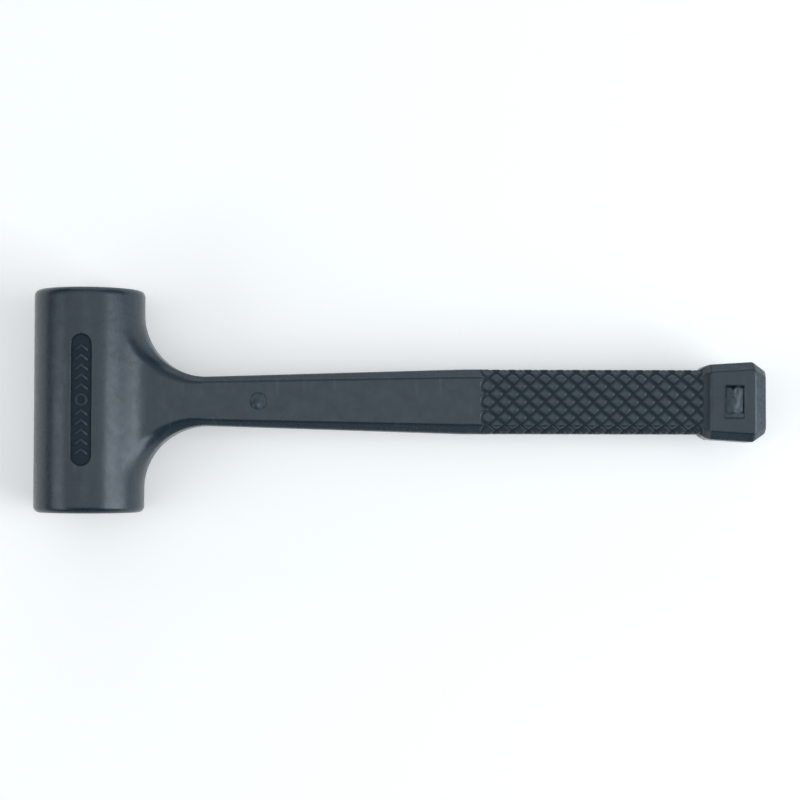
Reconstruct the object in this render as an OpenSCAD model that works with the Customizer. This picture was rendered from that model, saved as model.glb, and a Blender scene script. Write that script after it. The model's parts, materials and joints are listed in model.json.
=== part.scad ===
// Dead blow mallet: a shot-filled steel canister on a tubular steel core, in a one-piece moulded jacket.
// The head's axis lies along Y and the handle runs along +X, as the mallet lies on its side on a bench.
// The origin is the centre of the head. All sizes are in millimetres.

/* [Head] */
// Diameter of the head and its striking faces
head_d = 45; // [42:0.5:52]
// Length of the head from face to face
head_l = 91; // [86:1:110]
// Rounding of the striking face's rim
rim_r = 2.5; // [1:0.5:4]
// Length of the marking recess on the top and bottom of the head
recess_l = 53; // [30:1:60]
// Width of the marking recess
recess_w = 8.8; // [6:0.2:10]
// Depth of the marking recess
recess_depth = 0.8; // [0.4:0.1:1.2]

/* [Handle] */
// Distance from the head's axis to the butt's end face
reach = 276.5; // [264:0.5:320]
// Width of the neck at its narrowest, across the head's axis
neck_w = 20; // [19:0.5:24]
// Thickness of the neck at its narrowest
neck_t = 19; // [17:0.5:21]
// Width of the grip
grip_w = 26.4; // [24:0.2:30]
// Thickness of the grip
grip_t = 19; // [17:0.5:23]
// Length of the textured grip
grip_l = 90; // [60:1:100]
// Radius of the sweep from the head into the neck, seen from above
flare_r = 26; // [22:0.5:28]
// Radius of the sweep from the head into the neck, seen from the side
throat_r = 24; // [14:1:26]

/* [Butt] */
// Width of the flared butt at its widest
butt_w = 32.6; // [29:0.2:36]
// Thickness of the flared butt
butt_t = 23; // [20:0.5:28]
// Length of the flared butt
butt_l = 27.5; // [24:0.5:34]
// Length of the core window, along the handle
window_l = 7.7; // [6:0.1:9]
// Width of the core window, across the handle
window_w = 13.1; // [10:0.1:15]

/* [Canister] */
// Outer diameter of the canister tube
can_d = 34; // [32:0.5:36]
// Wall of the canister tube
can_wall = 2; // [1.5:0.1:2.2]
// Length of the canister over its rolled lips
can_l = 75; // [70:1:78]
// Thickness of a canister cap
cap_t = 3.5; // [3:0.1:5]

/* [Core] */
// Outer diameter of the handle core tube
core_d = 10; // [9:0.5:11]
// Wall of the handle core tube
core_wall = 2; // [1.5:0.1:2.5]
// Outer diameter of the socket that holds the core
socket_d = 15; // [14.5:0.1:15.5]
// Diameter of the roll pin through the socket
pin_d = 4; // [3:0.5:4.5]
// Diameter of the round plugs in the neck
plug_d = 7; // [5:0.5:8]

/* [Shot] */
// Diameter of one shot
shot_d = 4.5; // [4:0.1:5]
// Number of shot layers in the charge
shot_layers = 12; // [6:1:13]

/* [Hidden] */
$fn = 96;
LAYER_NAMES = [for (i = [1 : shot_layers]) str("shot_layer_", i < 10 ? "0" : "", i)];

rubber = [0.25, 0.29, 0.33];
plug_grey = [0.36, 0.39, 0.42];
bare_steel = [0.62, 0.63, 0.65];
zinc_steel = [0.72, 0.73, 0.70];
weld_steel = [0.42, 0.42, 0.44];
nylon = [0.85, 0.84, 0.78];

head_r = head_d / 2;
fit = 0.03;             // assembly clearance between inner pieces
cut = 0.5;              // how far a cutting tool runs past the surface that it opens

// Canister, along Y
can_r = can_d / 2;
bore_r = can_r - can_wall;
lip_t = 1.5;
lip_overlap = 2;
cap_seat = can_l / 2 - lip_t;
chamber_half = cap_seat - cap_t;

// Shot in close-packed layers across the canister, every second layer in the hollows of the last
pitch = shot_d + 0.05;
layer_step = pitch * sqrt(2 / 3);
charge_l = shot_d + (shot_layers - 1) * layer_step;
shot_reach = bore_r - shot_d / 2 - 0.1;
lattice_n = ceil(shot_reach / pitch) + 1;
function hollow(i) = i % 2 == 0 ? [pitch / 2, pitch / (2 * sqrt(3))] : [0, 0];
function layer_y(i) = -charge_l / 2 + shot_d / 2 + (i - 1) * layer_step;

// Core and socket, along X
core_r = core_d / 2;
socket_r = socket_d / 2;
core_start = can_r + 0.5;
end_wall = 6.5;         // rubber left beyond the core at the butt
flange_t = 1.5;
core_end = reach - end_wall - flange_t;
saddle_depth = 4;       // how far the socket's saddle reaches round the canister
socket_end = can_r + 16;
weld_leg = 3.5;
pin_x = can_r + 9.5;
groove_w = 4;
groove_depth = 0.8;
groove_xs = [80, 125, 170, 215];

// Jacket outline, along X
head_tangent = head_r + flare_r;
grip_end = reach - butt_l;
grip_start = grip_end - grip_l;
plug_x = 70;
window_x = reach - 13.5;
skin_start = 8;         // the handle's skin starts inside the head
arc_steps = 14;
soft_chamfer = [7, 6.7];
grip_chamfer = [3.6, 3.4];
butt_chamfer = [3.3, 3.4];

// Half widths of the jacket's outline, and half thicknesses of its side view
function flare_half(x) = neck_w / 2 + flare_r - sqrt(pow(flare_r, 2) - pow(head_tangent - x, 2));
throat_x = sqrt(pow(head_r + throat_r, 2) - pow(neck_t / 2 + throat_r, 2));
throat_touch = throat_x * head_r / (head_r + throat_r);
function throat_half(x) =
    x >= throat_x ? neck_t / 2
    : x > throat_touch ? neck_t / 2 + throat_r - sqrt(pow(throat_r, 2) - pow(throat_x - x, 2))
    : sqrt(pow(head_r, 2) - pow(x, 2)) - 0.2;

// A section is [x, half width, half thickness, [chamfer across, chamfer through]]
inner_sections = [
    for (x = [skin_start, (skin_start + throat_touch) / 2, throat_touch, (throat_touch + head_r) / 2])
        [x, neck_w / 2 + flare_r - 3, throat_half(x), soft_chamfer]
];
flare_sections = [
    for (i = [0 : arc_steps])
        let (t = i / arc_steps, x = head_r + 0.3 + (flare_r - 0.3) * pow(t, 1.4), c = 2.2 + 4.5 * pow(1 - t, 2))
        [x, flare_half(x), throat_half(x), [c, c]]
];
handle_sections = [
    [grip_start - 6, grip_w / 2, grip_t / 2, grip_chamfer],
    [grip_end, grip_w / 2, grip_t / 2, grip_chamfer]
];
butt_sections = [
    [grip_end + 2.8, butt_w / 2 - 1.5, butt_t / 2 - 1.2, butt_chamfer],
    [grip_end + 5.6, butt_w / 2 - 0.9, butt_t / 2, butt_chamfer],
    [reach - 5.9, butt_w / 2, butt_t / 2, butt_chamfer],
    [reach - 5, butt_w / 2 - 0.6, butt_t / 2, butt_chamfer],
    [reach, butt_w / 2 - 3.4, butt_t / 2 - 3.6, [2, 2]]
];
skin_sections = concat(inner_sections, flare_sections, handle_sections, butt_sections);

// The eight corners of a chamfered rectangle in the plane x, going round from +Y towards +Z
function octagon(s) =
    let (x = s[0], y = s[1], z = s[2], a = y - s[3][0], b = z - s[3][1])
    [[x, y, -b], [x, y, b], [x, a, z], [x, -a, z], [x, -y, b], [x, -y, -b], [x, -a, -z], [x, a, -z]];

// A closed solid through a list of octagonal sections
module loft(sections) {
    n = len(sections);
    points = [for (s = sections) each octagon(s)];
    sides = [
        for (i = [0 : n - 2], k = [0 : 7])
            let (a = 8 * i + k, b = 8 * i + (k + 1) % 8)
            each [[a, b + 8, b], [a, a + 8, b + 8]]
    ];
    ends = [
        for (k = [1 : 6])
            each [[0, k, k + 1], [8 * (n - 1), 8 * (n - 1) + k + 1, 8 * (n - 1) + k]]
    ];
    polyhedron(points = points, faces = concat(sides, ends));
}

// A cylinder from x1 to x2 along X, or a cone when r2 is given
module bar_x(x1, x2, r1, r2 = undef) {
    translate([x1, 0, 0])
        rotate([0, 90, 0])
            cylinder(h = x2 - x1, r1 = r1, r2 = is_undef(r2) ? r1 : r2);
}

// A cylinder about Y, centred on the head
module barrel_y(length, r) {
    rotate([90, 0, 0])
        cylinder(h = length, r = r, center = true);
}

// The head's barrel with a rounded rim at each face
module head_barrel() {
    rim = [for (a = [0 : 15 : 90]) [head_r - rim_r + rim_r * cos(a), head_l / 2 - rim_r + rim_r * sin(a)]];
    mirrored = [for (i = [len(rim) - 1 : -1 : 0]) [rim[i][0], -rim[i][1]]];
    rotate([-90, 0, 0])
        rotate_extrude()
            polygon(concat([[0, -head_l / 2]], mirrored, rim, [[0, head_l / 2]]));
}

// The marking recess as a cutting tool for the top of the head
module marking_recess() {
    straight = recess_l - recess_w;
    intersection() {
        difference() {
            barrel_y(recess_l + 2, head_r + cut);
            barrel_y(recess_l + 4, head_r - recess_depth);
        }
        union() {
            translate([-recess_w / 2, -straight / 2, 0])
                cube([recess_w, straight, head_r + 2 * cut]);
            for (side = [-1, 1])
                translate([0, side * straight / 2, 0])
                    cylinder(h = head_r + 2 * cut, d = recess_w);
        }
    }
}

// The outside of the core tube, with its anchor grooves
module core_outside() {
    difference() {
        bar_x(core_start, core_end, core_r);
        for (x = groove_xs)
            difference() {
                bar_x(x - groove_w / 2, x + groove_w / 2, core_r + 1);
                bar_x(x - groove_w, x + groove_w, core_r - groove_depth);
            }
    }
}

// A block in the core window from the handle's middle up to a height, smaller all round by a gap
module window_block(height, gap = 0) {
    translate([window_x - window_l / 2 + gap, -window_w / 2 + gap, 0])
        cube([window_l - 2 * gap, window_w - 2 * gap, height]);
}

// Fillet of weld metal between the canister and the socket
module weld_body() {
    difference() {
        bar_x(can_r - saddle_depth, can_r + weld_leg, socket_r + weld_leg, socket_r);
        barrel_y(can_l, can_r);
    }
}

// Moulded jacket: head, neck, grip and butt in one piece round the steelwork
module rubber_jacket() {
    color(rubber)
        difference() {
            union() {
                head_barrel();
                loft(skin_sections);
            }
            barrel_y(can_l, can_r);
            weld_body();
            bar_x(can_r - saddle_depth, socket_end, socket_r);
            core_outside();
            bar_x(core_end, core_end + flange_t, core_r);
            for (side = [0, 1])
                mirror([0, 0, side]) {
                    marking_recess();
                    translate([plug_x, 0, 0])
                        cylinder(h = grip_t, d = plug_d);
                    window_block(butt_t);
                }
        }
}

// Round plug that closes the hole of a core support pin in the neck
module neck_plug() {
    taper = (plug_x - head_tangent) / (grip_start - 6 - head_tangent);
    surface = neck_t / 2 + (grip_t - neck_t) / 2 * taper;
    plug_top = surface - 0.1;
    dish_r = 9;
    dish_depth = 0.4;
    color(plug_grey)
        difference() {
            translate([plug_x, 0, 0])
                cylinder(h = plug_top, d = plug_d - 2 * fit);
            bar_x(core_start, core_end, core_r + fit);
            translate([plug_x, 0, plug_top + dish_r - dish_depth])
                sphere(r = dish_r);
        }
}

// Crowned block that closes the core window in the butt
module window_plug() {
    plug_top = butt_t / 2 - 0.6;
    crown_r = 9;
    color(plug_grey)
        difference() {
            intersection() {
                window_block(plug_top, gap = 0.25);
                translate([window_x, 0, plug_top - crown_r])
                    rotate([90, 0, 0])
                        cylinder(h = window_w + 2, r = crown_r, center = true);
            }
            bar_x(core_start, core_end + 1, core_r + fit);
        }
}

// Steel tube that holds the shot, with its ends rolled in over the caps
module canister_tube() {
    wall = [
        [bore_r, -cap_seat], [bore_r - lip_overlap, -cap_seat], [bore_r - lip_overlap, -can_l / 2],
        [can_r, -can_l / 2], [can_r, can_l / 2], [bore_r - lip_overlap, can_l / 2],
        [bore_r - lip_overlap, cap_seat], [bore_r, cap_seat]
    ];
    color(bare_steel)
        rotate([-90, 0, 0])
            rotate_extrude()
                polygon(wall);
}

// Stepped steel disc that closes one end of the canister, drawn for the rear, +Y end
module canister_cap() {
    step = [
        [0, chamber_half], [bore_r - fit, chamber_half], [bore_r - fit, cap_seat],
        [bore_r - lip_overlap - fit, cap_seat], [bore_r - lip_overlap - fit, can_l / 2], [0, can_l / 2]
    ];
    color(zinc_steel)
        rotate([-90, 0, 0])
            rotate_extrude()
                polygon(step);
}

// Short steel sleeve, saddle-cut to the canister, that takes the handle core
module core_socket() {
    color(bare_steel)
        difference() {
            bar_x(can_r - saddle_depth, socket_end, socket_r);
            barrel_y(can_l, can_r);
            bar_x(0, socket_end + 1, core_r + fit);
            translate([pin_x, 0, 0])
                cylinder(h = socket_d + 2, d = pin_d, center = true);
        }
}

// Weld bead round the foot of the socket
module socket_weld() {
    color(weld_steel)
        difference() {
            weld_body();
            bar_x(0, socket_end, socket_r);
        }
}

// Tubular steel core of the handle, grooved so that the jacket can't creep along it
module handle_core() {
    color(zinc_steel)
        difference() {
            core_outside();
            bar_x(core_start - 1, core_end + 1, core_r - core_wall);
            translate([pin_x, 0, 0])
                cylinder(h = core_d + 2, d = pin_d, center = true);
        }
}

// Slotted spring pin that locks the core in its socket, ground flush with the socket
module socket_roll_pin() {
    slot = 0.8;
    pin_wall = 0.8;
    color(bare_steel)
        intersection() {
            translate([pin_x, 0, 0])
                difference() {
                    cylinder(h = socket_d, d = pin_d - 2 * fit, center = true);
                    cylinder(h = socket_d + 1, d = pin_d - 2 * pin_wall, center = true);
                    translate([0, -slot / 2, -socket_d])
                        cube([pin_d, slot, 2 * socket_d]);
                }
            bar_x(pin_x - pin_d, pin_x + pin_d, socket_r - fit);
        }
}

// Plug that keeps the jacket material out of the core tube at the butt
module core_end_plug() {
    spigot_l = 12;
    color(nylon)
        union() {
            bar_x(core_end - spigot_l, core_end, core_r - core_wall - fit);
            bar_x(core_end, core_end + flange_t, core_r);
        }
}

// One layer of loose steel shot
module shot_layer(i) {
    color(zinc_steel)
        for (row = [-lattice_n : lattice_n], col = [-lattice_n : lattice_n]) {
            x = hollow(i)[0] + pitch * (col + row / 2);
            z = hollow(i)[1] + pitch * row * sqrt(3) / 2;
            if (norm([x, z]) <= shot_reach)
                translate([x, layer_y(i), z])
                    sphere(d = shot_d, $fn = 24);
        }
}

rubber_jacket();
neck_plug();  // top_neck_plug
mirror([0, 0, 1]) neck_plug();  // bottom_neck_plug
window_plug();  // top_window_plug
mirror([0, 0, 1]) window_plug();  // bottom_window_plug
canister_tube();
mirror([0, 1, 0]) canister_cap();  // front_canister_cap
canister_cap();  // rear_canister_cap
core_socket();
socket_weld();
handle_core();
socket_roll_pin();
core_end_plug();
for (i = [1 : shot_layers])
    shot_layer(i);
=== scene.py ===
import json
import math
import random

import bmesh
import bpy
import numpy as np
from mathutils import Matrix, Vector


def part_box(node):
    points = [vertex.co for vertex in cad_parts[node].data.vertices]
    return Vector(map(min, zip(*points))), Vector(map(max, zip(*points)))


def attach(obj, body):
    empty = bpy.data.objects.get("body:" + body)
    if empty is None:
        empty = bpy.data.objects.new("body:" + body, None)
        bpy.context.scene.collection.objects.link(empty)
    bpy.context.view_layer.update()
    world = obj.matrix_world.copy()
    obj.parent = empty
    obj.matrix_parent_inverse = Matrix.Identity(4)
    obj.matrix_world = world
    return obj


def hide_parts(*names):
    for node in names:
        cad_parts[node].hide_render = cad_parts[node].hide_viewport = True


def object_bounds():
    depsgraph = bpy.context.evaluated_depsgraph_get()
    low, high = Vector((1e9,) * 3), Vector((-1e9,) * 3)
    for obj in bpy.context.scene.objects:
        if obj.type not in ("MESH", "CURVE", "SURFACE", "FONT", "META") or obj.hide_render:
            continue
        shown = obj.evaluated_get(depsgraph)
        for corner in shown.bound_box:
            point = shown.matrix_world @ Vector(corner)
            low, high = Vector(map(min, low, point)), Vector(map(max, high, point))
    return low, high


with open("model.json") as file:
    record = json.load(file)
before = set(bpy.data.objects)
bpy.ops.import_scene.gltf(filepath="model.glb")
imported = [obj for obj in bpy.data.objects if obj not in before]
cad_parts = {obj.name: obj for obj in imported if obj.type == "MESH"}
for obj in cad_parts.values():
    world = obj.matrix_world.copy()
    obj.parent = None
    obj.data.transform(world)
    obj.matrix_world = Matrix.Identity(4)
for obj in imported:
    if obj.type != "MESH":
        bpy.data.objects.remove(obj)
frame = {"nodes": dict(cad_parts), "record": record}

# Looks of a dead blow mallet, lying on its side. Shapes are worked out in millimetres in the CAD's frame:
# the head's axis is Y, the handle runs along +X, and the top of the mallet as it lies is +Z.
CAD_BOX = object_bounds()
MM = 0.001
MALLET, CHARGE = "mallet", "shot_charge"


def box_mm(node):
    """Lowest and highest corner of a CAD node, in millimetres."""
    low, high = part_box(node)
    return np.array(low) / MM, np.array(high) / MM


# ------------------------ sizes
MOUNTS = {m["name"]: np.array(m["pos_m"]) / MM for m in frame["record"]["mounts"]}
JACKET_LOW, JACKET_HIGH = box_mm("rubber_jacket")
HEAD_R = -JACKET_LOW[0]
HEAD_HALF = JACKET_HIGH[1]
REACH = JACKET_HIGH[0]
RIM_R = 2.5                 # rounding of the striking faces' rims

NECK_X = MOUNTS["head_hang"][0]     # where the sweeps from the head end in the neck
FLARE_R = NECK_X - HEAD_R   # sweep from the head into the neck, seen from above
THROAT_R = 24.0             # sweep from the head into the neck, seen from the side
SIDE_DEPTH = 8.3            # how deep the flare's rounded side reaches where it leaves the head
FLARE_BULGE = 4.0           # how far the flare's rings bow towards the head in their middles
FLARE_RINGS = 26

GRIP_HALF_W = 13.2
GRIP_HALF_T = MOUNTS["grip_clip_top"][2]
NECK_HALF_W = 10.0
NECK_HALF_T = GRIP_HALF_T
BUTT_HALF_W = 16.3
BUTT_HALF_T = 11.5
BUTT_LONG = 27.5
GRIP_LONG = 90.0
GRIP_END = REACH - BUTT_LONG
GRIP_START = GRIP_END - GRIP_LONG
END_BEVEL_X = REACH - 5.0   # where the bevel round the butt's end begins
END_X = REACH - 0.2         # edge of the butt's end, which is domed

# chamfers along the handle's edges: how wide across the flat, and how deep through the handle
NECK_CHAMFER = (2.2, 2.0)
GRIP_CHAMFER = (3.5, 3.05)
BUTT_CHAMFER = (3.3, 2.8)

PAD_PITCH = 6.5             # grip pads, along the handle
PADS_ROUND = 13             # grip pads round the handle
PADS_LONG = 13              # pitches from the first to the last row of pads
PAD_CORNER = 0.95           # rounding of a pad's four corners
PAD_CROWN = 0.17            # how far a pad's edges fall below its middle
LAST_PAD = GRIP_END - 1.1
FIRST_PAD = LAST_PAD - PADS_LONG * PAD_PITCH
SCALLOP_LEAD = 4.0          # how far before the first pads' middles the cut begins
SCALLOP_R = 2.75            # the round scallops that hold the first pads
GROOVE_DEPTH = 0.7
GROOVE_W = 0.8
CORNER_DIRT = 0.35          # how much of a groove's dirt the corner before the butt collects
CUT_START = FIRST_PAD - SCALLOP_LEAD
CUT_END = GRIP_END + 5.0

# mesh cells in a quarter of a section: the band is its side and chamfer, the front is half its flat
BAND_CELLS = 29
FRONT_CELLS = 25
LAND_CELLS = 9              # of the band: the upright side
ROUND_CELLS = 4             # of the band: each rounded edge
SLANT_CELLS = BAND_CELLS - LAND_CELLS - 2 * ROUND_CELLS
RING = 4 * (BAND_CELLS + FRONT_CELLS)
TOP_MIDDLE = RING // 4
UNDER_MIDDLE = 3 * RING // 4

# lengths of the handle's mesh cells, along it
NECK_STEP = 1.8
PLUG_STEP = 0.75
PLAIN_STEP = 2.8            # from the plug to the grip
GRIP_STEP = 0.46
BUTT_STEP = 0.4
WINDOW_STEP = 0.7
END_STEP = 0.36

# the hole in the head's barrel that the flare grows out of
HOLE_ANGLE = math.acos((HEAD_R - SIDE_DEPTH) / HEAD_R)
HOLE_HALF = NECK_HALF_W + FLARE_R

PLAIN, RECESS, MARKED = 0, 1, 2  # materials of the jacket: its skin, the recess floor, the raised marks


# ------------------------ mesh tools
class Skin:
    """Points in millimetres and faces, gathered patch by patch and welded where patches meet."""

    def __init__(self):
        self.points = []
        self.faces = []
        self.materials = []
        self.sunk = []
        self.count = 0

    def grid(self, points, closed=False, holes=(), material=PLAIN, sunk=None):
        """Quads over points[row, column]. closed joins the last column to the first.

        A hole is (first row, last row, first column, last column). sunk is how deep each point lies in a
        groove, from 0 to 1."""
        rows, columns = points.shape[:2]
        number = self.count + np.arange(rows * columns).reshape(rows, columns)
        if closed:
            number = np.hstack([number, number[:, :1]])
        kept = np.ones((rows - 1, number.shape[1] - 1), bool)
        for j0, j1, k0, k1 in holes:
            kept[j0:j1, k0:k1] = False
        quads = np.stack([number[:-1, :-1], number[:-1, 1:], number[1:, 1:], number[1:, :-1]], axis=-1)
        self.points.append(points.reshape(-1, 3))
        self.faces.append(quads[kept])
        self.materials.append(np.full(int(kept.sum()), material))
        self.sunk.append(np.zeros(rows * columns) if sunk is None else sunk.ravel())
        self.count += rows * columns

    def mesh(self, name, weld=0.002):
        """One closed mesh in metres, with its faces turned outwards."""
        points, faces = np.vstack(self.points), np.vstack(self.faces)
        used = np.zeros(len(points), bool)
        used[faces.ravel()] = True
        renumber = np.cumsum(used) - 1
        mesh = bpy.data.meshes.new(name)
        mesh.from_pydata((points[used] * MM).tolist(), [], renumber[faces].tolist())
        mesh.polygons.foreach_set("material_index", np.concatenate(self.materials).tolist())
        mask = mesh.attributes.new("groove", "FLOAT", "POINT")
        mask.data.foreach_set("value", np.concatenate(self.sunk)[used].tolist())
        bm = bmesh.new()
        bm.from_mesh(mesh)
        bmesh.ops.remove_doubles(bm, verts=bm.verts, dist=weld * MM)
        bmesh.ops.dissolve_degenerate(bm, edges=bm.edges, dist=1e-3 * MM)
        bmesh.ops.recalc_face_normals(bm, faces=bm.faces)
        bm.to_mesh(mesh)
        bm.free()
        return mesh


def coons(loop, across, along):
    """A grid of points over a closed loop of 2 * (across + along) points, as a patch with four corners."""
    low = loop[: across + 1]
    right = loop[across : across + along + 1]
    high = loop[across + along : 2 * across + along + 1][::-1]
    left = np.concatenate([loop[2 * across + along :], loop[:1]])[::-1]
    s = np.linspace(0, 1, across + 1)[None, :, None]
    t = np.linspace(0, 1, along + 1)[:, None, None]
    edges = (1 - t) * low[None] + t * high[None] + (1 - s) * left[:, None] + s * right[:, None]
    corners = (1 - t) * ((1 - s) * low[0] + s * low[-1]) + t * ((1 - s) * high[0] + s * high[-1])
    return edges - corners


def smooth(value, low, high):
    """0 below low, 1 above high, and a soft step between."""
    t = np.clip((value - low) / (high - low), 0, 1)
    return t * t * (3 - 2 * t)


SHARPEST = 0.05             # smallest radius of a rounded outline's corners


def rounded_outline(half, corner, cells, signs):
    """Points round a rounded rectangle, from the middle of one corner's arc on.

    signs are its four corners in order, and cells is the number of cells on its first and second sides."""
    out = []
    for side in range(4):
        a, b = np.array(signs[side]), np.array(signs[(side + 1) % 4])
        normal = (a + b) / 2
        along = (b - a) / 2
        straight = 2 * abs(np.dot(along, half)) - 2 * corner
        arc = corner * math.pi / 4
        count = cells[side % 2]
        for s in np.arange(count) / count * (2 * arc + straight):
            if s < arc:
                turn = math.pi / 4 - s / corner
                out.append(a * (half - corner) + corner * (normal * math.cos(turn) - along * math.sin(turn)))
            elif s < arc + straight:
                out.append(a * (half - corner) + corner * normal + along * (s - arc))
            else:
                turn = (s - arc - straight) / corner
                out.append(b * (half - corner) + corner * (normal * math.cos(turn) + along * math.sin(turn)))
    return np.array(out)


def ring_of_block(grid, block):
    """The points round a block of a grid, as one loop: along row j0, column k1, row j1 and column k0."""
    j0, j1, k0, k1 = block
    return np.concatenate([grid[j0, k0:k1], grid[j0:j1, k1], grid[j1, k1:k0:-1], grid[j1:j0:-1, k0]])


def pocket(skin, flat, block, place, centre, half, corner, profile, material=PLAIN):
    """Sinks a rounded rectangular pocket into a hole left in a grid.

    flat[row, column] is the grid on the unrolled surface, and place(u, v, depth) puts a point of it in space.
    profile is a list of (inset, depth) from the rim down to the floor. material is that of the floor and of
    its foot."""
    j0, j1, k0, k1 = block
    cells = (k1 - k0, j1 - j0)
    loop = ring_of_block(flat, block)
    corners = loop[[0, cells[0], cells[0] + cells[1], 2 * cells[0] + cells[1]]]
    signs = np.sign(corners - centre)
    rim = centre + rounded_outline(np.array(half), corner, cells, signs)
    rings = [(loop + (rim - loop) * part, 0.0) for part in (0, 0.35, 0.7, 0.92)]
    for inset, depth in profile:
        radius = max(corner - inset, SHARPEST)
        outline = rounded_outline(np.array(half) - inset, radius, cells, signs)
        rings.append((centre + outline, depth))
    placed = np.array([place(r[:, 0], r[:, 1], np.full(len(r), d)) for r, d in rings])
    skin.grid(placed[:-2], closed=True)
    skin.grid(placed[-3:], closed=True, material=material)
    last, depth = rings[-1]
    patch = coons(last, *cells)
    skin.grid(place(patch[..., 0], patch[..., 1], np.full(patch.shape[:2], depth)), material=material)


def smooth_shade(mesh):
    mesh.polygons.foreach_set("use_smooth", [True] * len(mesh.polygons))


def new_piece(name, mesh, body, slot, *nodes):
    """A shown piece that rides on a body and stands for some CAD nodes."""
    piece = bpy.data.objects.new(name, mesh)
    bpy.context.scene.collection.objects.link(piece)
    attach(piece, body)
    if nodes:
        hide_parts(*nodes)
    return piece


# ------------------------ handle sections
def handle_stations():
    """Stations along the handle: x, half width, half thickness, the chamfer's two sizes, edge rounding."""
    return np.array([
        (NECK_X, NECK_HALF_W, NECK_HALF_T, *NECK_CHAMFER, 1.3),
        (GRIP_START - 6, GRIP_HALF_W, GRIP_HALF_T, *GRIP_CHAMFER, 1.4),
        (GRIP_START, GRIP_HALF_W, GRIP_HALF_T, *GRIP_CHAMFER, 1.4),
        (GRIP_START + 3, GRIP_HALF_W, GRIP_HALF_T, *GRIP_CHAMFER, 0.5),
        (GRIP_END + 0.6, GRIP_HALF_W, GRIP_HALF_T, *GRIP_CHAMFER, 0.5),
        (GRIP_END + 2.7, BUTT_HALF_W - 1.6, GRIP_HALF_T, 3.4, 2.9, 1.1),
        (GRIP_END + 4.7, BUTT_HALF_W - 1.0, BUTT_HALF_T, *BUTT_CHAMFER, 0.9),
        (END_BEVEL_X - 0.9, BUTT_HALF_W + 0.05, BUTT_HALF_T, *BUTT_CHAMFER, 0.9),
        (END_BEVEL_X, BUTT_HALF_W - 0.55, BUTT_HALF_T, *BUTT_CHAMFER, 0.9),
        (END_X - 0.35, BUTT_HALF_W - 3.35, BUTT_HALF_T - 3.7, 2.6, 2.4, 0.7),
        (END_X, BUTT_HALF_W - 3.9, BUTT_HALF_T - 4.25, 2.5, 2.3, 0.7),
    ])


STATIONS = handle_stations()
CURVE_REACH = 1.4           # how much further along its sides a curved corner reaches than an arc


def section_sizes(x, soft=0.45):
    """The section's sizes at x, with the stations' corners eased over a short way."""
    xs = np.clip(x + np.linspace(-soft, soft, 9), STATIONS[0, 0], STATIONS[-1, 0])
    sizes = STATIONS[:, 1:].T
    return [float(np.mean(np.interp(xs, STATIONS[:, 0], size))) for size in sizes]


def eased_corner(corner, before, after, radius, cells):
    """Points of a curve that rounds a corner. before and after point from it along its two sides."""
    turn = math.acos(max(-1.0, min(1.0, float(-np.dot(before, after)))))
    reach = radius * math.tan(turn / 2) * CURVE_REACH
    t = np.linspace(0, 1, cells + 1)[:, None]
    start, end = corner + before * reach, corner + after * reach
    return (1 - t) ** 2 * start + 2 * t * (1 - t) * corner + t * t * end


def quarter_section(half_w, half_t, cut_y, cut_z, radius):
    """A quarter of a chamfered section, as (y, z) from the middle of its side to the middle of its top."""
    low = np.array([half_w, half_t - cut_z])
    high = np.array([half_w - cut_y, half_t])
    slant = (high - low) / np.linalg.norm(high - low)
    lower = eased_corner(low, np.array([0.0, -1.0]), slant, radius, ROUND_CELLS)
    upper = eased_corner(high, -slant, np.array([-1.0, 0.0]), radius, ROUND_CELLS)
    side = np.linspace([half_w, 0], lower[0], LAND_CELLS + 1)
    chamfer = np.linspace(lower[-1], upper[0], SLANT_CELLS + 1)
    top = np.linspace(upper[-1], [0, half_t], FRONT_CELLS + 1)
    return np.vstack([side, lower[1:], chamfer[1:], upper[1:], top[1:]])


def whole_ring(quarter):
    """A closed ring from its quarter, which runs from the side at +Y to the middle of the top."""
    top = np.vstack([quarter, quarter[::-1][1:] * (1, -1, 1)])
    return np.vstack([top, top[::-1][1:-1] * (1, 1, -1)])


def handle_ring(x):
    q = quarter_section(*section_sizes(x))
    return whole_ring(np.column_stack([np.full(len(q), x), q]))


def groove_depth(x, round_mm, perimeter):
    """How deep the grip's grooves are at x and at a distance round the handle from the middle of the top."""
    scale = PAD_PITCH * PADS_ROUND / perimeter
    along, around = (x - FIRST_PAD) / PAD_PITCH, round_mm * scale / PAD_PITCH
    inner = PAD_PITCH / math.sqrt(8) - GROOVE_W / 2 - PAD_CORNER
    edge = np.full(x.shape, math.inf)
    for shift in (0.0, 0.5):
        column = np.clip(np.round(along - shift), 0, PADS_LONG)
        dx = (along - shift - column) * PAD_PITCH
        dt = (around - shift - np.round(around - shift)) * PAD_PITCH
        a, b = np.abs(dx + dt) / math.sqrt(2), np.abs(dx - dt) / math.sqrt(2)
        outside = np.hypot(np.maximum(a - inner, 0), np.maximum(b - inner, 0)) - PAD_CORNER
        edge = np.minimum(edge, outside)
    depth = (GROOVE_DEPTH - PAD_CROWN) * smooth(edge, -0.15, 0.35) + PAD_CROWN * smooth(edge, -1.5, 0.1)
    # the first pads sit in round scallops, and the field stops at the butt's bevel
    row = (around - np.round(around)) * PAD_PITCH
    from_pad = np.hypot(x - FIRST_PAD, row)
    scallop = 0.8 * GROOVE_DEPTH * (1 - smooth(np.abs(from_pad - SCALLOP_R), 0.1, 0.6))
    depth = np.where(x < FIRST_PAD, scallop, depth)
    return depth * (1 - smooth(x, GRIP_END + 1.2, GRIP_END + 2.0))


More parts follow.
